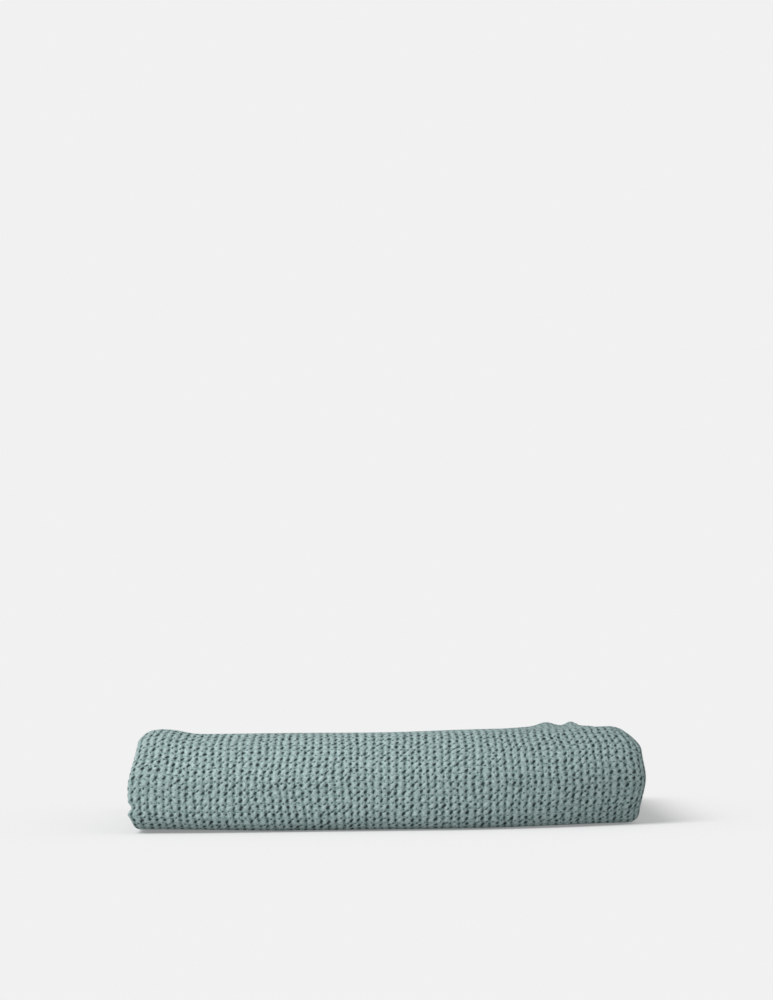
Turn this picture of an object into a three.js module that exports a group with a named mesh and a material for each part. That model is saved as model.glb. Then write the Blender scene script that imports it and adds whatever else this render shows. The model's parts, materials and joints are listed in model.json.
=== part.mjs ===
// A knitted cotton throw, folded for a shelf. It is laid flat, folded in half twice along its length, and then
// folded in half twice across its width, so that it lies sixteen layers deep. +X runs along the front fold, -Y is
// the side with the front fold, and +Z is up. Millimetres. The origin is on the surface that the throw lies on,
// under the middle of its box.

import * as THREE from "three";

// the cloth as it is cut
const throwLength = 1700;
const throwWidth = 1300;
const layerPitch = 5.2;

// what keeps touching cloth apart
const clearance = 0.3;

// how far the cut edges reach past the centre line of the bend that they lie beside
const sideEdge = 0;
const endEdge = 15;

// the binding tapes at both ends, and the thread that runs in the groove beside each
const bindingWidth = 22;
const threadSize = 0.8;

// the care label, sewn to a side edge and hanging over the side
const labelWidth = 24;
const labelThickness = 0.8;
const labelDrop = 16;
const labelBend = 2.4;
const labelFromBackBend = 70;
const stitchLength = 18;
const stitchSize = 0.6;

// facets in a half turn of the cloth
const layerFacets = 6;
const packFacets = 10;

const packPitch = 4 * layerPitch;
const clothThickness = layerPitch - clearance;

// A strip that lies in four runs, one pitch apart, as a path of straights and half turns. It starts at a free end in
// the third run from below, turns down into the second, turns down again at the far side into the lowest, and turns
// up round the first turn into the highest. Both noses face the way that the path sets out.
function foldedPath(stripLength, pitch, freeEnd) {
  const turns = Math.PI * (0.5 + 0.5 + 1.5) * pitch;
  const run = (stripLength - turns - 2 * freeEnd) / 4;
  const parts = [
    { name: "third", length: run + freeEnd },
    { name: "innerFold", radius: 0.5 * pitch, side: -1 },
    { name: "second", length: run },
    { name: "farFold", radius: 0.5 * pitch, side: 1 },
    { name: "bottom", length: run },
    { name: "outerFold", radius: 1.5 * pitch, side: 1 },
    { name: "top", length: run + freeEnd },
  ];
  let [x, y, heading, start] = [-run - freeEnd, 2.5 * pitch, 0, 0];
  const stretches = {};
  for (const part of parts) {
    const length = part.radius ? Math.PI * part.radius : part.length;
    stretches[part.name] = { ...part, x, y, heading, start, length, end: start + length };
    if (part.radius) {
      y += 2 * part.radius * part.side * Math.cos(heading);
      heading += part.side * Math.PI;
    } else {
      x += length * Math.cos(heading);
    }
    start += length;
  }
  return { run, stretches };
}

// The point that lies a distance along a folded path, and an offset to the left of it. x counts from the centre line
// of the noses, and y from the bottom of the lowest run.
function pointOn(path, distance, offset) {
  const all = Object.values(path.stretches);
  const at = all.find((stretch) => distance <= stretch.end) ?? all.at(-1);
  const along = distance - at.start;
  const [cos, sin] = [Math.cos(at.heading), Math.sin(at.heading)];
  if (!at.radius) {
    return new THREE.Vector2(at.x + along * cos - offset * sin, at.y + along * sin + offset * cos);
  }
  const angle = along / at.radius;
  const reach = at.radius - at.side * offset;
  const forward = reach * Math.sin(angle);
  const sideways = at.side * (at.radius - reach * Math.cos(angle));
  return new THREE.Vector2(at.x + forward * cos - sideways * sin, at.y + forward * sin + sideways * cos);
}

const lengthPath = foldedPath(throwLength, layerPitch, sideEdge);
const widthPath = foldedPath(throwWidth, packPitch, endEdge);

// One pack of four layers, cut across: the lengthwise path with a thickness
function packSection(thickness) {
  const distances = [];
  for (const stretch of Object.values(lengthPath.stretches)) {
    if (stretch.radius) {
      for (let i = 0; i <= layerFacets; i++) distances.push(stretch.start + (stretch.length * i) / layerFacets);
    }
  }
  distances.unshift(0);
  distances.push(throwLength);
  const side = (offset) => distances.map((distance) => pointOn(lengthPath, distance, offset));
  return new THREE.Shape([...side(-thickness / 2), ...side(thickness / 2).reverse()]);
}

// the box runs from the label's face to the nose on the right, and from the front fold to the back fold
const rightmost = 2 * layerPitch - clearance / 2;
const leftmost = -lengthPath.run - layerPitch - clearance / 2 - labelThickness;
const frontmost = 2 * packPitch - clearance / 2;
const backmost = -widthPath.run - packPitch + clearance / 2;
const centreX = (rightmost + leftmost) / 2;
const centreForward = (frontmost + backmost) / 2;

// A stretch of the pack, from one distance along the cloth's width to another, laid through the second folding
function packStretch(section, from, to, facets) {
  const geometry = new THREE.ExtrudeGeometry(section, { depth: to - from, steps: facets, bevelEnabled: false });
  const position = geometry.attributes.position;
  for (let i = 0; i < position.count; i++) {
    const offset = position.getY(i) - packPitch / 2;
    const folded = pointOn(widthPath, from + position.getZ(i), offset);
    position.setXYZ(i, position.getX(i) - centreX, centreForward - folded.x, folded.y - clearance / 2);
  }
  geometry.computeVertexNormals();
  return geometry;
}

const knit = new THREE.MeshStandardMaterial({ color: "#819594", roughness: 0.95, metalness: 0 });
const tape = new THREE.MeshStandardMaterial({ color: "#7c908f", roughness: 0.9, metalness: 0 });
const thread = new THREE.MeshStandardMaterial({ color: "#6f8483", roughness: 0.8, metalness: 0 });
const labelTape = new THREE.MeshStandardMaterial({ color: "#e8e6e0", roughness: 0.6, metalness: 0 });

const folded = new THREE.Group();

function add(name, geometry, material) {
  const mesh = new THREE.Mesh(geometry, material);
  mesh.name = name;
  folded.add(mesh);
  return mesh;
}

// The cloth: four flat packs and the three folds between them
function addCloth() {
  const section = packSection(clothThickness);
  const half = clearance / 2;
  const { third, innerFold, second, farFold, bottom, outerFold, top } = widthPath.stretches;
  const border = bindingWidth + threadSize + 2 * clearance;
  const lay = (name, from, to, facets) => add(name, packStretch(section, from + half, to - half, facets), knit);
  lay("cloth_third_quarter", third.start + border - half, third.end, 1);
  lay("cloth_inner_front_fold", innerFold.start, innerFold.end, packFacets);
  lay("cloth_second_quarter", second.start, second.end, 1);
  lay("cloth_back_fold", farFold.start, farFold.end, packFacets);
  lay("cloth_bottom_quarter", bottom.start, bottom.end, 1);
  lay("cloth_outer_front_fold", outerFold.start, outerFold.end, packFacets);
  lay("cloth_top_quarter", top.start, top.end - border + half, 1);
}

// A binding tape closes each end of the cloth, folded along with it. Its seam thread lies in the groove between them.
function addBindings() {
  const tapeSection = packSection(clothThickness);
  const threadSection = packSection(threadSize);
  const grooveStart = bindingWidth + clearance;
  const grooveEnd = grooveStart + threadSize;
  add("inner_end_binding", packStretch(tapeSection, 0, bindingWidth, 1), tape);
  add("inner_end_seam_thread", packStretch(threadSection, grooveStart, grooveEnd, 1), thread);
  add("top_end_seam_thread", packStretch(threadSection, throwWidth - grooveEnd, throwWidth - grooveStart, 1), thread);
  add("top_end_binding", packStretch(tapeSection, throwWidth - bindingWidth, throwWidth, 1), tape);
}

// The care label is sewn to the side edge of the second pack's lowest layer, runs out over the layers below it and
// hangs down beside them. A short row of stitches crosses it where it leaves the edge.
function addLabel() {
  const edgeX = -lengthPath.run - sideEdge - centreX;
  const edgeZ = packPitch + layerPitch / 2 - clearance / 2;
  const outerX = leftmost - centreX;
  const half = labelThickness / 2;
  const backBendY = centreForward + widthPath.run;
  const profile = new THREE.Shape();
  profile.moveTo(edgeX - clearance, edgeZ + half);
  profile.lineTo(outerX + labelBend, edgeZ + half);
  profile.absarc(outerX + labelBend, edgeZ + half - labelBend, labelBend, Math.PI / 2, Math.PI, false);
  profile.lineTo(outerX, edgeZ - labelDrop);
  profile.lineTo(outerX + labelThickness, edgeZ - labelDrop);
  profile.lineTo(outerX + labelThickness, edgeZ + half - labelBend);
  profile.absarc(
    outerX + labelBend,
    edgeZ + half - labelBend,
    labelBend - labelThickness,
    Math.PI,
    Math.PI / 2,
    true,
  );
  profile.lineTo(edgeX - clearance, edgeZ - half);
  const label = add(
    "care_label",
    new THREE.ExtrudeGeometry(profile, { depth: labelWidth, bevelEnabled: false, curveSegments: layerFacets }),
    labelTape,
  );
  label.rotation.x = Math.PI / 2;
  label.position.y = backBendY - labelFromBackBend;

  const stitch = add("care_label_stitch", new THREE.BoxGeometry(stitchSize, stitchLength, stitchSize), thread);
  stitch.position.set(
    edgeX - clearance - stitchSize,
    label.position.y - labelWidth / 2,
    edgeZ + half + clearance + stitchSize / 2,
  );
}

addCloth();
addBindings();
addLabel();

export default folded;
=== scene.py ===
# A knitted cotton throw, folded in quarters along its length and then in quarters across its width,
# lying on a pale surface. Its front fold faces -Y. Metres.

import json
import math
from collections import namedtuple

import bmesh
import bpy
from mathutils import Matrix, Vector, noise


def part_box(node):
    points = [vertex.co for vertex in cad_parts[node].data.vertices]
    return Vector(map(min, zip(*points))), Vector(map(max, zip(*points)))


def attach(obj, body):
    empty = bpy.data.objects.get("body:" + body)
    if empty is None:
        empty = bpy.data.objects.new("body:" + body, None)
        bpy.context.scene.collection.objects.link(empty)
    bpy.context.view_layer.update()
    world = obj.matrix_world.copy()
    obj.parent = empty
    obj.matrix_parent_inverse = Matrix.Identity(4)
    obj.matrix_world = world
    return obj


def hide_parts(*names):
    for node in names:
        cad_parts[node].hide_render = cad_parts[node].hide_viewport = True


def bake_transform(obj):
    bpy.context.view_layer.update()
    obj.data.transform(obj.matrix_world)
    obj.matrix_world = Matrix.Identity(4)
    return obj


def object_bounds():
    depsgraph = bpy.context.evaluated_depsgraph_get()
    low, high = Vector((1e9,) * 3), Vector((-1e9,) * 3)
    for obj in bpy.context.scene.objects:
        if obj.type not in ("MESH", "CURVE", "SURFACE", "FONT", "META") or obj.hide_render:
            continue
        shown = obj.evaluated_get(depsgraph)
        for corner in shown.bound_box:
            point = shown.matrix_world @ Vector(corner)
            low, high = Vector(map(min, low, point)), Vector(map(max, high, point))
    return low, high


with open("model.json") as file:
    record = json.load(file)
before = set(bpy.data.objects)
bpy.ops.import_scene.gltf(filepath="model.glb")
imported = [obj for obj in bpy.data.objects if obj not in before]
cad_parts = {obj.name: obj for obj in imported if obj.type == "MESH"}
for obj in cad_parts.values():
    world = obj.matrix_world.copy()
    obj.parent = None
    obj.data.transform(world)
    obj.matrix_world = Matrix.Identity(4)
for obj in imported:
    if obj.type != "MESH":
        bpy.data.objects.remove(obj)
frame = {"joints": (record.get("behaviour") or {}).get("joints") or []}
cad_low, cad_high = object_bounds()


# --- Set: a pale floor, an even pale surround and one soft key light from the upper left ------------
# The floor looks as bright as the surround, so that no horizon shows. The key light is a broad sun,
# which leaves a soft shadow to the right of the throw and a thin dark line under it. A lamp that
# doesn't reach the floor brightens the throw from the left.

surround = 0.88
fill = 0.60
key_strength = 2.5
key_spread = math.radians(34)
key_from = Vector((-0.52, -0.44, 0.75)).normalized()
lamp_power = 35
lamp_cone = math.radians(25)
lamp_radius = 0.2
lamp_place, lamp_aim = Vector((-0.60, -1.15, 0.95)), Vector((-0.13, -0.12, 0.09))
floor_reach = 40
floor_albedo = 0.54

world = bpy.data.worlds.new("surround")
world.use_nodes = True
world_nodes = world.node_tree.nodes
seen = world_nodes.new("ShaderNodeBackground")
seen.inputs["Color"].default_value = (surround, surround, surround, 1)
world_nodes["Background"].inputs["Color"].default_value = (fill, fill, fill, 1)
choose = world_nodes.new("ShaderNodeMixShader")
for source, target in (
    (world_nodes.new("ShaderNodeLightPath").outputs["Is Camera Ray"], choose.inputs[0]),
    (world_nodes["Background"].outputs[0], choose.inputs[1]),
    (seen.outputs[0], choose.inputs[2]),
    (choose.outputs[0], world_nodes["World Output"].inputs[0]),
):
    world.node_tree.links.new(source, target)
bpy.context.scene.world = world


def new_light(name, kind, strength, shines_from):
    light = bpy.data.objects.new(name, bpy.data.lights.new(name, kind))
    light.data.energy = strength
    light.rotation_mode = "QUATERNION"
    light.rotation_quaternion = shines_from.to_track_quat("Z", "Y")
    bpy.context.collection.objects.link(light)
    return light


key = new_light("key", "SUN", key_strength, key_from)
key.data.angle = key_spread

lamp = new_light("lamp", "SPOT", lamp_power, lamp_place - lamp_aim)
lamp.location = lamp_place
lamp.data.spot_size = lamp_cone
lamp.data.spot_blend = 1.0
lamp.data.shadow_soft_size = lamp_radius

floor_mesh = bmesh.new()
bmesh.ops.create_grid(floor_mesh, x_segments=1, y_segments=1, size=floor_reach)
floor = bpy.data.objects.new("floor", bpy.data.meshes.new("floor"))
floor_mesh.to_mesh(floor.data)
floor_mesh.free()
bpy.context.collection.objects.link(floor)
floor_paint = bpy.data.materials.new("floor_paint")
floor_paint.use_nodes = True
floor_shader = floor_paint.node_tree.nodes["Principled BSDF"]
floor_glow = surround - floor_albedo * (fill + key_strength * key_from.z / math.pi)
floor_shader.inputs["Base Color"].default_value = (floor_albedo, floor_albedo, floor_albedo, 1)
floor_shader.inputs["Roughness"].default_value = 1.0
floor_shader.inputs["Specular IOR Level"].default_value = 0.0
floor_shader.inputs["Emission Color"].default_value = (1, 1, 1, 1)
floor_shader.inputs["Emission Strength"].default_value = floor_glow
floor.data.materials.append(floor_paint)

not_lit = bpy.data.collections.new("not_lit_by_lamp")
not_lit.objects.link(floor)
lamp.light_linking.receiver_collection = not_lit
not_lit.collection_objects[0].light_linking.link_state = "EXCLUDE"


# --- Camera: a long lens just above the table, with the throw in the lower part of the frame --------
# It stands on a circle round the middle of the front fold, and then looks up from there, which brings
# the throw down in the frame.

distance = 2.5
elevation = math.radians(3.4)
look_up = math.radians(5.335)
roll = math.radians(-0.75)
sensor_width = 36
lens_per_metre = 43.4

camera = bpy.data.objects.new("camera", bpy.data.cameras.new("camera"))
camera.data.sensor_width = sensor_width
camera.data.lens = lens_per_metre * distance
camera.data.clip_end = 100
front_centre = Vector((0.0010, cad_low.y, (cad_low.z + cad_high.z) / 2))
camera.location = front_centre + distance * Vector((0, -math.cos(elevation), math.sin(elevation)))
look = Matrix.Rotation(math.pi / 2 - elevation + look_up, 4, "X") @ Matrix.Rotation(roll, 4, "Z")
camera.rotation_euler = look.to_euler()
bpy.context.collection.objects.link(camera)
bpy.context.scene.camera = camera
bpy.context.scene.view_settings.view_transform = "Standard"


# --- The cloth --------------------------------------------------------------------------------------
# One sheet of thick cotton knit, 1.30 m by 1.70 m, with a plain selvedge along both long edges. It is
# laid through two foldings, each in half twice, and then settles under its own weight.

top_low, top_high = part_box("cloth_top_quarter")
third_low, third_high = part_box("cloth_third_quarter")
second_low, second_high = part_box("cloth_second_quarter")
binding_low, binding_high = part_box("top_end_binding")
thread_low, thread_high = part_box("top_end_seam_thread")
hinge = Vector(frame["joints"][0]["pos_m"])

pack_pitch = third_low.z - second_low.z
layer_pitch = pack_pitch / 4
gap = third_low.z - second_high.z
thickness = layer_pitch - gap
nose_x = top_high.x + gap / 2 - 2 * layer_pitch
side_run = nose_x - (top_low.x - gap / 2 + layer_pitch)
back_run = second_high.y + gap / 2 - hinge.y
end_edge = binding_high.y - hinge.y - back_run
binding_width = binding_high.y - binding_low.y
groove = gap + (thread_high.y - thread_low.y)
height = cad_high.z

# a stretch starts at a distance along the strip and at x, y, faces 1 or -1 along x, and bends left (1)
# or right (-1) if it has a radius; its pattern starts at a length of its own and runs at its rate
Stretch = namedtuple("Stretch", "start end x y facing radius side pattern rate")


def folded_path(run, pitch, free_end, face):
    """The stretches of a strip that lies in four runs. The pattern's length is measured on its face,
    which lies to the right of the strip's middle, so its rate differs from 1 in a bend."""
    path, start, pattern, x, y, facing = {}, 0.0, 0.0, -run - free_end, 2.5 * pitch, 1
    for name, straight, radius, side in (
        ("third", run + free_end, 0, 0),
        ("inner_fold", 0, 0.5 * pitch, -1),
        ("second", run, 0, 0),
        ("far_fold", 0, 0.5 * pitch, 1),
        ("bottom", run, 0, 0),
        ("outer_fold", 0, 1.5 * pitch, 1),
        ("top", run + free_end, 0, 0),
    ):
        length = straight + math.pi * radius
        rate = max(0.05, (radius + side * face) / radius) if radius else 1
        path[name] = Stretch(start, start + length, x, y, facing, radius, side, pattern, rate)
        if radius:
            y += 2 * radius * side * facing
            facing = -facing
        else:
            x += straight * facing
        start += length
        pattern += length * rate
    return path


def point_on(path, distance_along, offset):
    """The point at a distance along a folded path and an offset to its left, and its length in the
    pattern."""
    at = next((stretch for stretch in path.values() if distance_along <= stretch.end), path["top"])
    along = distance_along - at.start
    pattern = at.pattern + along * at.rate
    if not at.radius:
        return at.x + along * at.facing, at.y + offset * at.facing, pattern
    angle, reach = along / at.radius, at.radius - at.side * offset
    forward, sideways = reach * math.sin(angle), at.side * (at.radius - reach * math.cos(angle))
    return at.x + forward * at.facing, at.y + sideways * at.facing, pattern


length_path = folded_path(side_run, layer_pitch, 0, layer_pitch / 2)
width_path = folded_path(back_run, pack_pitch, end_edge, pack_pitch / 2)
cloth_length, cloth_width = length_path["top"].end, width_path["top"].end


def smooth(value, low, high):
    share = min(1, max(0, (value - low) / (high - low)))
    return share * share * (3 - 2 * share)


def hump(value, centre, spread):
    return math.exp(-(((value - centre) / spread) ** 2))


nose_steps = 100
nose_corner, nose_slope = 4.8, 1.6


def nose_profile():
    """The front fold's settled outline as points for equal steps along it, from below to above, for a
    radius of 1. The cloth's weight fills the lower corner and lays the upper part back."""
    drawn = 4 * nose_steps
    points = []
    for i in range(drawn + 1):
        angle = math.pi * i / drawn
        power = 2 / (nose_corner if angle < math.pi / 2 else nose_slope)
        forward = abs(math.sin(angle)) ** power
        up = -math.copysign(abs(math.cos(angle)) ** power, math.cos(angle))
        points.append(Vector((forward, up)))
    lengths = [0.0]
    for before, after in zip(points, points[1:]):
        lengths.append(lengths[-1] + (after - before).length)
    even, i = [], 0
    for step in range(nose_steps + 1):
        wanted = lengths[-1] * step / nose_steps
        while i < drawn - 1 and lengths[i + 1] < wanted:
            i += 1
        share = (wanted - lengths[i]) / (lengths[i + 1] - lengths[i])
        even.append(points[i].lerp(points[i + 1], share))
    return even


nose_points = nose_profile()


def slump(y, z):
    """Lays a point of the sharp front fold on the settled outline."""
    reach = math.hypot(y - hinge.y, z - hinge.z)
    share = nose_steps * math.atan2(hinge.y - y, hinge.z - z) / math.pi
    i = min(nose_steps - 1, int(share))
    outline = nose_points[i].lerp(nose_points[i + 1], share - i)
    return hinge.y - reach * outline.x, hinge.z + reach * outline.y


# In the functions that settle the cloth, across goes from -1 at the left end to 1 at the right one, up
# from 0 at the floor to 1 at the top, and behind is the distance behind the hinge. Each hem bump has a
# rise, a place and a spread.

back_thinning, front_press, crease_reach = 0.175, 0.967, 0.014
corner_curl_left, corner_curl_right = 0.0022, 0.0016
left_crest, left_crest_x, right_dip = 0.0046, -0.198, 0.0030
hem_bumps = ((0.0022, 0.150, 0.050), (0.0036, 0.154, 0.010), (0.0040, 0.180, 0.0065))
left_shoulder, left_top, left_foot, left_bulge = 0.0050, 0.0055, 0.0016, 0.0030
right_shoulder, right_top, right_foot = 0.0030, 0.0110, 0.0050
parted_out, parted_in = 0.0018, 0.0026
set_back_left, set_back_right = 0.006, 0.010
top_unevenness, face_unevenness = 0.0014, 0.0022


def at_front(behind):
    return smooth(-behind, -0.12, 0.03)


def press(x, z, behind, across):
    """The pile thins towards its back under its own weight. Beside the hinge the layers stay level with
    it, so that the opened halves meet."""
    depth = smooth(behind, -0.01, back_run + pack_pitch)
    middle = hump(across, 0.12, 0.30)
    thinning = back_thinning - 0.035 * across - 0.018 * middle
    thinning += 0.008 * noise.noise(Vector((x * 9, 3.1, 0)))
    pressed = (1 - thinning * depth) * (front_press + 0.022 * smooth(across, -0.1, 1.0) - 0.010 * middle)
    crease = hump(math.hypot(min(0, behind), z - hinge.z), 0, crease_reach) * smooth(0.07 - behind, 0, 0.07)
    return z * pressed + crease * (1 - pressed) * hinge.z


def ruffle(x, y, z, behind, across, up):
    """The front corners curl up, the top is a little uneven, and its loose end stands up in small bumps
    at the right."""
    curl = corner_curl_left * smooth(-across, 0.35, 0.95) + corner_curl_right * smooth(across, 0.3, 0.9)
    z += curl * at_front(behind) * smooth(0.25 - up, 0, 0.25)
    z += up * left_crest * hump(x, left_crest_x, 0.020)
    z -= up * right_dip * smooth(across, 0.92, 1.0)
    z += up * up * top_unevenness * noise.noise(Vector((x * 11, y * 9, 5.0)))
    loose = smooth(up, 0.72, 1.0) * smooth(behind, 0.15, 0.3)
    return z + loose * sum(rise * hump(x, centre, spread) for rise, centre, spread in hem_bumps)


def draw_in(x, z, across, up):
    """Both ends are drawn in at the top and at the foot. The left one bulges at half height, and its
    lowest layers part a little."""
    if x < 0:
        x += across * across * (left_shoulder * smooth(up, 0.45, 1.0) + left_top * smooth(up, 0.90, 1.02))
        x += across * across * (left_foot * smooth(0.2 - up, 0, 0.2) - left_bulge * hump(up, 0.42, 0.25))
    else:
        x -= across * across * (right_shoulder * smooth(up, 0.5, 0.8) + right_top * smooth(up, 0.78, 1.03))
        x -= across * across * right_foot * smooth(0.5 - up, 0, 0.42)
    left_end = smooth(-across, 0.93, 1.0)
    return x + left_end * (parted_in * hump(z, 0.0215, 0.0028) - parted_out * hump(z, 0.0165, 0.0034))


def turn_back(x, y, z, behind, across, up):
    """The front fold is set back towards both ends and flattens towards the right one, most at its
    foot. Its face is a little uneven."""
    outer = smooth(math.hypot(min(0, behind), z - hinge.z), 0, 0.035)
    turned_back = max(0, (across - 0.2) / 0.8) ** 2
    y += at_front(behind) * outer * (set_back_right * turned_back + set_back_left * max(0, -across) ** 2)
    flattened = 0.52 + 0.33 * smooth(0.75 - up, 0, 0.7) + 0.10 * smooth(0.35 - up, 0, 0.35)
    y -= min(0, behind) * turned_back * flattened
    uneven = face_unevenness * noise.noise(Vector((x * 10, z * 22, 8.0)))
    return y + outer * smooth(-behind, 0, 0.03) * uneven


def settle(x, y, z):
    """Where a point of the sharply folded throw comes to lie."""
    if y < hinge.y:
        y, z = slump(y, z)
    behind, across, up = y - hinge.y, x / cad_high.x, z / height
    z = press(x, z, behind, across)
    z = ruffle(x, y, z, behind, across, up)
    x = draw_in(x, z, across, up)
    y = turn_back(x, y, z, behind, across, up)
    return Vector((x, y, z))


# the share of the turn given to the top half's points, a little over a whole one, meant to let its thinner
# back lie flat too
full_turn = 1.017


def laid(along_length, along_width, offset):
    """A point of the flat cloth, folded both ways and settled, and its share of the turn about the
    front fold."""
    x, level, _ = point_on(length_path, along_length, offset)
    forward, up, _ = point_on(width_path, along_width, level - pack_pitch / 2)
    sharp = Vector((nose_x + x, hinge.y - forward, up - gap / 2))
    place = settle(*sharp)
    if sharp.y >= hinge.y:
        return place, full_turn * (sharp.z > hinge.z)
    y, z = slump(sharp.y, sharp.z)
    turned = math.atan2(hinge.y - y, hinge.z - z) / math.pi
    return place, full_turn * min(1, max(0, turned))


cell_width = 0.0064
cell_height = 0.00595
relief_depth = 0.0013
wander = 0.30


def pattern_at(along_length, along_width):
    """The place on the knit's face in cells, across and down. Rows and columns wander a little, as
    hand-loose knit's do."""
    across, down = along_length / cell_width, along_width / cell_height
    spot = Vector((across * 0.16, down * 0.16, 0))
    return across + wander * noise.noise(spot), down + wander * noise.noise(spot + Vector((0, 0, 9)))


def knit_pit(across, down):
    """How deep in a pit of the knit a point is, from 0 on a knot to 1 at the bottom, by its place in
    cells. The slanted wave makes the pits lean."""
    columnwise, rowwise = math.cos(2 * math.pi * across), math.cos(2 * math.pi * down)
    slanted = math.cos(2 * math.pi * (across - down))
    return ((0.40 * columnwise + 0.26 * rowwise + 0.34 * slanted + 1) / 2) ** 2.2


def stations(path, steps, low, high):
    """Where the grid's lines go along a path, with each stretch in steps of its own size, between two
    ends."""
    places = [low]
    for stretch, step in zip(path.values(), steps):
        start, end = max(stretch.start, low), min(stretch.end, high)
        count = max(1, round((end - start) * max(stretch.rate, 0.5) / step))
        places += [start + (end - start) * (i + 1) / count for i in range(count)]
    return places


def grid_piece(name, columns, rows, place_point, tube=False):
    """A grid laid by place_point(column, row) -> place, weight, (pattern across, pattern down). A
    tube's first and last rows are joined, and its ends are closed."""
    sheet = bmesh.new()
    bmesh.ops.create_grid(sheet, x_segments=len(columns) - 1, y_segments=len(rows) - 1, size=0.5)
    pattern = sheet.loops.layers.uv.new("pattern")
    turn = sheet.verts.layers.float.new("turn")
    spots = {}
    for vert in sheet.verts:
        i = round((vert.co.x + 0.5) * (len(columns) - 1))
        j = round((vert.co.y + 0.5) * (len(rows) - 1))
        vert.co, vert[turn], spots[vert] = place_point(columns[i], rows[j])
    for face in sheet.faces:
        face.smooth = True
        for loop in face.loops:
            loop[pattern].uv = spots[loop.vert]
    if tube:
        bmesh.ops.remove_doubles(sheet, verts=sheet.verts, dist=1e-6)
        bmesh.ops.holes_fill(sheet, edges=sheet.edges, sides=len(rows))
    piece = bpy.data.objects.new(name, bpy.data.meshes.new(name))
    sheet.to_mesh(piece.data)
    sheet.free()
    bpy.context.collection.objects.link(piece)
    return piece


def bend_at_front_fold(piece):
    """Bakes a piece's placement into its mesh and removes the share of the turn that each point was given."""
    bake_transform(piece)
    piece.data.attributes.remove(piece.data.attributes["turn"])


edge_radius = thickness / 2
knit_start = binding_width + groove
knit_end = cloth_width - knit_start
relief_fade = 0.004


def edge_round(along, low, high):
    """The nearest place between two ends, and how far beyond it a place is."""
    inside = min(high, max(low, along))
    return inside, along - inside


def relief_shows(along_length, along_width):
    """How much of the knit's relief a place has: all of it where it can be seen, folded or opened, and
    none inside the pile and beside the selvedges."""
    side_bend, side_bend_end = length_path["far_fold"].start, length_path["outer_fold"].end
    back_bend, front_bend = width_path["far_fold"], width_path["outer_fold"]
    share = smooth(along_length, side_bend, side_bend + relief_fade)
    share *= smooth(side_bend_end - along_length, 0, relief_fade)
    share *= smooth(along_width, back_bend.start - relief_fade, back_bend.start)
    below = smooth(along_width, back_bend.end, back_bend.end + relief_fade)
    share *= 1 - below * smooth(front_bend.start - along_width, 0, relief_fade)
    return share * smooth(cloth_length / 2 - abs(along_length - cloth_length / 2), 0.002, 0.008)


def cloth_point(along_length, along_width):
    """A point of the knit's face. Past the cloth's edges the grid goes round them, half a turn."""
    inside_length, over_length = edge_round(along_length, edge_radius, cloth_length - edge_radius)
    inside_width, over_width = edge_round(along_width, knit_start + edge_radius, knit_end - edge_radius)
    over = math.hypot(over_length, over_width)
    angle = min(math.pi, over / edge_radius)
    outward = edge_radius * math.sin(angle) / over if over else 0
    across, down = pattern_at(
        point_on(length_path, inside_length, 0)[2] + over_length,
        point_on(width_path, inside_width, 0)[2] + over_width,
    )
    uneven = 1 + 0.9 * noise.noise(Vector((across * 0.9, down * 0.9, 4)))
    shown = relief_shows(inside_length, inside_width) * (over == 0)
    depth = relief_depth * knit_pit(across, down) * uneven * shown
    place, turn = laid(
        inside_length + outward * over_length,
        inside_width + outward * over_width,
        depth - edge_radius * math.cos(angle),
    )
    return place, turn, (across, down)


fine_across, fine_down = cell_width / 4, cell_height / 4
hidden, hidden_bend = 0.040, 0.002
rim = [math.pi * edge_radius * i / 5 for i in range(1, 6)]
columns = stations(
    length_path,
    (hidden, hidden_bend, hidden, fine_across, fine_across, 2 * fine_across, hidden),
    edge_radius,
    cloth_length - edge_radius,
)
rows = stations(
    width_path,
    (hidden, hidden_bend, hidden, fine_down, hidden, fine_down, 1.33 * fine_down),
    knit_start + edge_radius,
    knit_end - edge_radius,
)


def with_rims(places):
    return [*(places[0] - step for step in reversed(rim)), *places, *(places[-1] + step for step in rim)]


cloth = grid_piece("throw_cloth", with_rims(columns), with_rims(rows), cloth_point)
bend_at_front_fold(cloth)


class Value:
    """A shader socket that takes part in Python arithmetic."""

    def __init__(self, finish, socket):
        self.finish, self.socket = finish, socket

    def math(self, operation, *others):
        sockets = {0: self, **dict(enumerate(others, 1))}
        return self.finish.node("ShaderNodeMath", {"operation": operation}, sockets)

    def __add__(self, other):
        return self.math("ADD", other)

    def __mul__(self, other):
        return self.math("MULTIPLY", other)

    def __sub__(self, other):
        return self.math("SUBTRACT", other)

    def __rsub__(self, other):
        return self.finish.node("ShaderNodeMath", {"operation": "SUBTRACT"}, {0: other, 1: self})

    def __truediv__(self, other):
        return self.math("DIVIDE", other)

    def __rtruediv__(self, other):
        return self.finish.node("ShaderNodeMath", {"operation": "DIVIDE"}, {0: other, 1: self})

    __radd__, __rmul__ = __add__, __mul__


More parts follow.
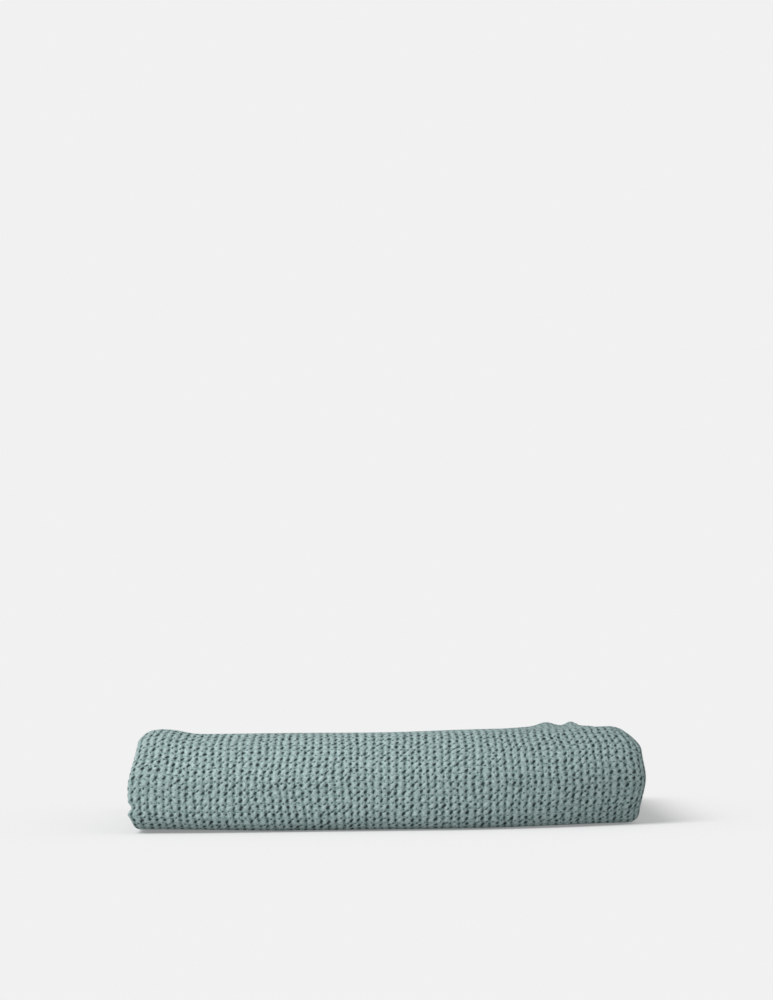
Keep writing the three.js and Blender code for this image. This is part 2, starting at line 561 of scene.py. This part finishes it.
class Finish:
    """One material's nodes. node() adds one, with its settings first and then its sockets' values or
    links."""

    def __init__(self, name):
        self.material = bpy.data.materials.new(name)
        self.material.use_nodes = True
        self.tree = self.material.node_tree
        self.shader = self.tree.nodes["Principled BSDF"]

    def node(self, kind, settings, sockets, output=0):
        made = self.tree.nodes.new(kind)
        stops = settings.pop("stops", None)
        for name, setting in settings.items():
            setattr(made, name, setting)
        if stops:
            ramp = made.color_ramp.elements
            while len(ramp) < len(stops):
                ramp.new(0.5)
            for element, (position, colour) in zip(ramp, stops):
                element.position, element.color = position, (*colour, 1)
        for name, value in sockets.items():
            self.put(made.inputs[name], value)
        return Value(self, made.outputs[output])

    def put(self, socket, value):
        if isinstance(value, Value):
            self.tree.links.new(value.socket, socket)
        else:
            socket.default_value = value

    def set(self, **sockets):
        for name, value in sockets.items():
            self.put(self.shader.inputs[name.replace("_", " ")], value)

    def parts(self, kind, whole):
        """The outputs of a node that takes a vector or a colour apart."""
        made = self.node(kind, {}, {0: whole}).socket.node
        return [Value(self, part) for part in made.outputs]

    def pattern(self):
        """The piece's own pattern coordinates: both together, across and down."""
        uv = self.node("ShaderNodeUVMap", {"uv_map": "pattern"}, {})
        across, down, _ = self.parts("ShaderNodeSeparateXYZ", uv)
        return uv, across, down

    def noise(self, vector, scale, detail=2.0, roughness=0.5):
        sockets = {"Vector": vector, "Scale": scale, "Detail": detail, "Roughness": roughness}
        return self.node("ShaderNodeTexNoise", {}, sockets)

    def chances(self, column, row):
        """Three numbers from 0 to 1 that differ from cell to cell."""
        cell = self.node("ShaderNodeCombineXYZ", {}, {0: column, 1: row})
        chance = self.node("ShaderNodeTexWhiteNoise", {}, {"Vector": cell}, "Color")
        return self.parts("ShaderNodeSeparateColor", chance)

    def ramp(self, share, *stops):
        """A colour that runs through stops, each a place from 0 to 1 and its colour."""
        return self.node("ShaderNodeValToRGB", {"stops": stops}, {0: share})

    def slit(self, beside, above, half_length, half_width, longer):
        """A soft dark slit through 0, 0 that rises to the right."""
        along = (beside + above) * (math.sqrt(0.5) / half_length) / longer
        athwart = (beside - above) * (math.sqrt(0.5) / half_width)
        return ((along * along + athwart * athwart) * -1.0).math("EXPONENT")

    def wave(self, turns, strength):
        return (turns * (2 * math.pi)).math("COSINE") * strength

    def bump(self, raised, distance, strength=1.0):
        sockets = {"Height": raised, "Distance": distance, "Strength": strength}
        return self.node("ShaderNodeBump", {}, sockets)

    def soft_cotton(self):
        """The dull look and faint pale bloom of cotton yarn."""
        self.set(Specular_IOR_Level=0.2, Sheen_Weight=0.15, Sheen_Roughness=0.6)
        self.set(Sheen_Tint=(0.75, 0.88, 0.87, 1))


def knit_finish():
    """Thick cotton yarn in a dusty blue-green. Plump knots stand between slanted pits of uneven size,
    and the yarn's plies run across them. The pattern's cells are counted from pit to pit."""
    finish = Finish("cotton_knit")
    uv, across, down = finish.pattern()
    ragged = finish.noise(uv, 2.4, 3.0, 0.6) - 0.5

    # the pits, one in each cell, moved and stretched by chance
    column, row = (across + 0.5).math("FLOOR"), (down + 0.5).math("FLOOR")
    chance, chance_across, chance_down = finish.chances(column, row)
    beside = (across + 0.5).math("FRACT") - 0.5 + (chance_across - 0.5) * 0.22 + ragged * 0.28
    above = (down + 0.5).math("FRACT") - 0.5 + (chance_down - 0.5) * 0.24 - ragged * 0.30
    pit = finish.slit(beside, above, 0.220, 0.118, chance_down * 0.7 + 0.6) * (chance * 0.95 + 0.36)

    # a shorter pit where four cells meet, strong in some places and missing in others
    other, other_across, other_down = finish.chances(
        across.math("FLOOR") + 0.37, down.math("FLOOR") + 0.71
    )
    small_pit_beside = across.math("FRACT") - 0.5 + (other_across - 0.5) * 0.26 + ragged * 0.22
    small_pit_above = down.math("FRACT") - 0.5 + (other_down - 0.5) * 0.26
    small_pit = finish.slit(small_pit_beside, small_pit_above, 0.16, 0.080, other_down * 0.8 + 0.5) * (other * 0.85 + 0.08)

    # a knot between every two pits of a row, painted lighter as a highlight
    knot_beside = across.math("FRACT") - 0.5 + (other_across - 0.5) * 0.16
    knot_above = (down + 0.5).math("FRACT") - 0.5 + (other - 0.5) * 0.16
    knot_reach = knot_beside * knot_beside * 12.0 + knot_above * knot_above * 11.0
    knot = (knot_reach * -1.0).math("EXPONENT") * (other_down * 0.8 + 0.45)

    # the yarn's plies, its thick and thin places, and the furrow down each column of pits
    plies = finish.node("ShaderNodeCombineXYZ", {}, {0: across, 1: down * 1.6})
    fibre = finish.noise(plies, 4.4, 3.0, 0.7) - 0.5
    clump = finish.noise(uv, 1.6, 2.0, 0.6) - 0.5
    furrow = (beside * beside * -24.0).math("EXPONENT")

    relief = knot * 0.95 - pit * 1.40 - small_pit * 1.20 - furrow * 0.45 + fibre * 1.60 + clump * 0.90
    # colour: the pits, shorter pits and furrows are painted darker as shade, the knots lighter as a highlight
    shade = 0.825 + knot * 0.28 - pit * 1.55 - small_pit * 1.50 - furrow * 0.27 + fibre * 2.20 + clump * 0.90
    # the plies and clumps vary the tone at random; the near-black lowest stops paint the shade in the pits
    colour = finish.ramp(
        shade,
        (0.0, (0.006, 0.024, 0.024)),
        (0.30, (0.040, 0.089, 0.089)),
        (0.60, (0.222, 0.328, 0.324)),
        (1.0, (0.470, 0.605, 0.598)),
    )
    finish.set(Base_Color=colour, Roughness=0.92, Normal=finish.bump(relief, 0.0018))
    finish.soft_cotton()
    return finish.material


cloth.data.materials.append(knit_finish())
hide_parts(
    "cloth_third_quarter",
    "cloth_inner_front_fold",
    "cloth_second_quarter",
    "cloth_back_fold",
    "cloth_bottom_quarter",
    "cloth_outer_front_fold",
    "cloth_top_quarter",
)


# --- The bindings -----------------------------------------------------------------------------------
# A closely knitted tape, 22 mm wide, closes each end of the cloth. It is folded over the end, so its
# free edge is round, and it goes through the same folds. One lies on top at the back, and the other
# just under it.

tape_cell = 0.0022
tape_edge_steps = 10
tape_overrun = 0.001
ripple_height, ripple_length = 0.00025, 0.009
tape_columns = stations(length_path, (0.006, 0.001, 0.006, 0.001, 0.002, 0.0015, 0.002), 0, cloth_length)


def tape_section():
    """The tape's outline across, as (distance from the free edge, offset from the middle), from the
    seam round to the seam."""
    flat = [
        binding_width - (binding_width - edge_radius) * i / tape_edge_steps
        for i in range(tape_edge_steps + 1)
    ]
    over = [(distance, -edge_radius) for distance in flat]
    round_edge = []
    for i in range(1, tape_edge_steps):
        angle = math.pi * i / tape_edge_steps
        round_edge.append((edge_radius - edge_radius * math.sin(angle), -edge_radius * math.cos(angle)))
    under = [(distance, edge_radius) for distance in reversed(flat)]
    return [(binding_width, 0), *over, *round_edge, *under, (binding_width, 0)]


def lengths_along(points):
    """How far each point lies along a line through all of them."""
    lengths = [0.0]
    for before, after in zip(points, points[1:]):
        lengths.append(lengths[-1] + math.dist(before, after))
    return lengths


def binding(name, at_start):
    section = tape_section()
    around = lengths_along(section)

    def place_point(along_length, i):
        distance, offset = section[i]
        inside = min(cloth_length, max(0, along_length))
        closed = 1 - min(1, abs(along_length - inside) / tape_overrun)
        along_width = distance if at_start else cloth_width - distance
        ripple = ripple_height * math.sin(2 * math.pi * along_length / ripple_length)
        ripple *= hump(distance, 0.012, 0.008)
        place, turn = laid(inside, along_width, offset * closed * (1 - ripple / thickness))
        return place, turn, (point_on(length_path, inside, 0)[2] / tape_cell, around[i] / tape_cell)

    tape_ends = [-tape_overrun, *tape_columns, cloth_length + tape_overrun]
    tape = grid_piece(name, tape_ends, range(len(section)), place_point)
    bend_at_front_fold(tape)
    return tape


def tape_finish():
    """The same yarn knitted closely: fine ribs run along the tape, with small stitches in each."""
    finish = Finish("binding_knit")
    uv, across, down = finish.pattern()
    across = across + (finish.noise(uv, 0.35, 2.0) - 0.5) * 0.7
    rib = finish.wave(down, 0.5) + 0.5
    stitch = finish.wave(across + finish.wave(down, 0.18), 0.5) + 0.5
    fibre = finish.noise(uv, 2.6, 3.0, 0.65) - 0.5
    relief = rib * 0.55 + stitch * 0.45 + fibre * 0.5
    # colour: painted darker as shade in the grooves between ribs and stitches; fibre varies it at random
    colour = finish.ramp(
        rib * 0.30 + stitch * 0.28 + fibre * 0.55 + 0.20,
        (0.0, (0.045, 0.080, 0.079)),
        (0.45, (0.165, 0.245, 0.240)),
        (1.0, (0.330, 0.425, 0.415)),
    )
    finish.set(Base_Color=colour, Roughness=0.9, Normal=finish.bump(relief, 0.0006, 0.9))
    finish.soft_cotton()
    return finish.material


tape_knit = tape_finish()
for name, node, at_start in (
    ("inner_binding", "inner_end_binding", True),
    ("top_binding", "top_end_binding", False),
):
    tape = binding(name, at_start)
    tape.data.materials.append(tape_knit)
    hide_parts(node)


# --- The seams --------------------------------------------------------------------------------------
# A soft two-ply thread overcasts the gap between each binding and the knit. It goes over the seam and
# back under it, leaning a little at every stitch.

stitch_pitch = 0.0042
stitch_points = 8
stitch_reach = groove / 2 + 0.0016
stitch_lean = 0.0006
thread_radius = 0.00045
thread_sides = 6


def thread_piece(name, points):
    """A round thread through points that wind round a seam."""
    last = len(points) - 1

    def place_point(i, j):
        ahead = (points[min(i + 1, last)] - points[max(i - 1, 0)]).normalized()
        seamward = points[min(i + stitch_points, last)] - points[max(i - stitch_points, 0)]
        out = ahead.cross(seamward).normalized()
        angle = 2 * math.pi * j / thread_sides
        around = out * math.cos(angle) + ahead.cross(out) * math.sin(angle)
        return points[i] + thread_radius * around, full_turn, (i, j)

    thread = grid_piece(name, range(last + 1), range(thread_sides + 1), place_point, tube=True)
    bend_at_front_fold(thread)
    return thread


def overcast(seam_at):
    """The thread's points along a seam."""
    over_the_cloth = thickness / 2 + thread_radius * 0.6
    points = []
    for i in range(int(cloth_length / stitch_pitch * stitch_points) + 1):
        angle = 2 * math.pi * i / stitch_points
        lean = stitch_lean * math.sin(angle)
        along_length = min(cloth_length, i * stitch_pitch / stitch_points + lean + stitch_lean)
        offset = over_the_cloth * math.copysign(abs(math.cos(angle)) ** 0.5, math.cos(angle))
        points.append(laid(along_length, seam_at + stitch_reach * math.sin(angle), -offset)[0])
    return points


def thread_finish():
    """Spun cotton sewing thread, a shade deeper than the knit."""
    finish = Finish("cotton_thread")
    place = finish.node("ShaderNodeTexCoord", {}, {}, "Object")
    grain = finish.noise(place, 2200.0)
    colour = finish.ramp(grain, (0.25, (0.110, 0.175, 0.172)), (0.75, (0.245, 0.335, 0.328)))
    finish.set(Base_Color=colour, Roughness=0.75, Normal=finish.bump(grain, 0.0003, 0.6))
    finish.set(Specular_IOR_Level=0.3, Sheen_Weight=0.1)
    return finish.material


thread_cotton = thread_finish()
for name, node, seam_at in (
    ("inner_seam", "inner_end_seam_thread", binding_width + groove / 2),
    ("top_seam", "top_end_seam_thread", cloth_width - binding_width - groove / 2),
):
    thread = thread_piece(name, overcast(seam_at))
    thread.data.materials.append(thread_cotton)
    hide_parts(node)


# --- The care label ---------------------------------------------------------------------------------
# A plain satin tape, folded double, with its ends sewn to a side edge at the left. It comes out
# between the layers and hangs down beside those below. A short row of stitches holds it.

label_low, label_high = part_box("care_label")
label_ply = 0.0003
label_doubled = 0.0008
label_bend = 0.0024
label_sewn_in = 0.004
label_weave = 0.001
label_flare, label_waviness = 0.0022, 0.0010


def label_route():
    """The tape's middle line as (x, z) before it settles: out, round the bend, down, round the fold
    and back up."""
    outer, inner = label_low.x + label_ply, label_low.x + label_doubled - label_ply / 2
    top = label_high.z - label_ply
    fold = (inner - outer) / 2
    bottom = label_low.z + fold
    drop = top - label_bend - bottom
    route = [(label_high.x + label_sewn_in, top), (outer + label_bend, top)]
    for i in range(1, 9):
        angle = math.pi / 2 * i / 8
        route.append(
            (outer + label_bend - label_bend * math.sin(angle), top - label_bend * (1 - math.cos(angle)))
        )
    route += [(outer, top - label_bend - drop * i / 8) for i in range(1, 9)]
    for i in range(1, 7):
        angle = math.pi * i / 6
        route.append((outer + fold * (1 - math.cos(angle)), bottom - fold * math.sin(angle)))
    route += [(inner, bottom + drop * i / 8) for i in range(1, 9)]
    return route


label_points = label_route()
label_spans = lengths_along(label_points)


def label_point(y, i):
    """A point of the label. It settles with the edge that it is sewn to, and hangs away from there."""
    x, z = label_points[i]
    hang = max(0, label_high.z - z) / (label_high.z - label_low.z)
    place = settle(label_high.x, y, z)
    place.x += x - label_high.x
    place.x -= label_flare * hang * hang + label_waviness * hang * math.sin((y - label_low.y) * 150)
    return place, 0, (y / label_weave, label_spans[i] / label_weave)


def label_finish():
    """Bright woven satin: fine floats along the tape, with a fine grain."""
    finish = Finish("label_satin")
    uv, across, down = finish.pattern()
    floats = finish.wave(across * 3.0, 0.5) + finish.wave(down * 1.5 + finish.wave(across * 1.5, 0.4), 0.3)
    grain = finish.noise(uv, 1.2, 2.0) - 0.5
    # colour: painted lighter on the raised floats and darker between them as shade; grain varies it at random
    shade = floats * 0.25 + grain * 0.4 + 0.6
    colour = finish.ramp(shade, (0.0, (0.62, 0.61, 0.57)), (1.0, (0.86, 0.85, 0.81)))
    relief = finish.bump(floats + grain, 0.00008, 0.7)
    finish.set(Base_Color=colour, Roughness=grain * 0.15 + 0.42, Normal=relief)
    finish.set(Sheen_Weight=0.3, Sheen_Roughness=0.3, Specular_IOR_Level=0.5)
    return finish.material


label_columns = [label_low.y + (label_high.y - label_low.y) * i / 16 for i in range(17)]
label = grid_piece("sewn_label", label_columns, range(len(label_points)), label_point)
label.data.attributes.remove(label.data.attributes["turn"])
ply = label.modifiers.new("ply", "SOLIDIFY")
ply.thickness = label_ply
ply.offset = 0
label.data.materials.append(label_finish())
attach(label, "lower_half")
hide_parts("care_label")

row_low, row_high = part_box("care_label_stitch")
row_stitches = 5
row_thread_radius = 0.0003
row_stitch_length = (row_high.y - row_low.y) / row_stitches
onto_label = Vector((-0.0012, 0, -0.0002))


def label_stitch_row():
    """Stitches laid end to end on the label, each a bead that is drawn out along the row."""
    row = bmesh.new()
    for i in range(row_stitches):
        stitch = bmesh.ops.create_uvsphere(row, u_segments=8, v_segments=6, radius=row_thread_radius)["verts"]
        for vert in stitch:
            if abs(vert.co.y) > 1e-6:
                vert.co.y += math.copysign(row_stitch_length * 0.34, vert.co.y)
        middle = settle(label_high.x, row_low.y + row_stitch_length * (i + 0.5), row_low.z)
        bmesh.ops.translate(row, vec=middle + onto_label, verts=stitch)
    piece = bpy.data.objects.new("label_stitches", bpy.data.meshes.new("label_stitches"))
    row.to_mesh(piece.data)
    row.free()
    bpy.context.collection.objects.link(piece)
    return piece


label_stitches = label_stitch_row()
label_stitches.data.materials.append(thread_cotton)
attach(label_stitches, "lower_half")
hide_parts("care_label_stitch")
